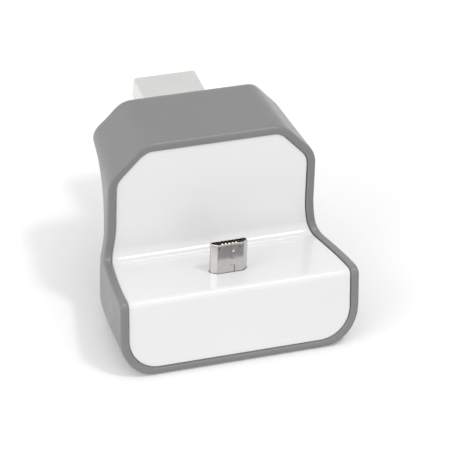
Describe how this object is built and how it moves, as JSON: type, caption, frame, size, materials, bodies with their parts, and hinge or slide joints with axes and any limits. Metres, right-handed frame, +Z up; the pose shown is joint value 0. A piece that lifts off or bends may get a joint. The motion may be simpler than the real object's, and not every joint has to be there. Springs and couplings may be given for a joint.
{
  "type": "plug-in charging dock",
  "caption": "Charging dock that plugs into a wall charger by a rear USB-A plug and holds a phone upright on a micro-USB plug; grey housing, white inlaid seat",
  "frame": {"origin": "middle of the USB-A plug where it leaves the rear face", "axes": "+Y out along the USB-A plug towards the charger, +Z up, +X to the right seen from the seat"},
  "size_m": [0.045, 0.0498, 0.033],
  "materials": {
    "grey_plastic": "satin moulded ABS",
    "white_plastic": "gloss white ABS",
    "usb_steel": "nickel plated formed steel",
    "micro_steel": "nickel plated formed steel",
    "spring_steel": "stainless spring steel",
    "bracket_steel": "zinc plated sheet",
    "screw_steel": "zinc plated steel",
    "contact_gold": "gold plated copper alloy",
    "insulator_white": "white moulded PBT",
    "insulator_black": "black moulded plastic",
    "board_green": "glass epoxy with solder mask",
    "wire_red": "PVC insulation",
    "wire_white": "PVC insulation",
    "wire_green": "PVC insulation",
    "wire_black": "PVC insulation"
  },
  "bodies": {
    "dock": {"housing": "grey_plastic", "front_panel": "white_plastic", "usb_shell": "usb_steel", "usb_insulator": "insulator_white", "usb_contact_vbus": "contact_gold", "usb_contact_dminus": "contact_gold", "usb_contact_dplus": "contact_gold", "usb_contact_ground": "contact_gold", "usb_carrier": "insulator_black", "plug_bracket": "bracket_steel", "bracket_screw_left": "screw_steel", "bracket_screw_right": "screw_steel", "micro_shell": "micro_steel", "micro_insulator": "insulator_black", "micro_contact_vbus": "contact_gold", "micro_contact_dminus": "contact_gold", "micro_contact_dplus": "contact_gold", "micro_contact_id": "contact_gold", "micro_contact_ground": "contact_gold", "micro_collar": "insulator_black", "dock_board": "board_green", "board_screw_left": "screw_steel", "board_screw_right": "screw_steel", "wire_vbus": "wire_red", "wire_dminus": "wire_white", "wire_dplus": "wire_green", "wire_ground": "wire_black"},
    "latch_left": {"micro_latch_left": "spring_steel"},
    "latch_right": {"micro_latch_right": "spring_steel"}
  },
  "joints": [
    {"name": "latch_left_spring", "type": "hinge", "parent": "dock", "child": "latch_left", "pos_m": [-0.00195, -0.02802, -0.01331], "axis": [1, 0, 0], "range_deg": [-2.5, 0], "stiffness_Nm_per_rad": 0.1},
    {"name": "latch_right_spring", "type": "hinge", "parent": "dock", "child": "latch_right", "pos_m": [0.00195, -0.02802, -0.01331], "axis": [1, 0, 0], "range_deg": [-2.5, 0], "stiffness_Nm_per_rad": 0.1}
  ]
}
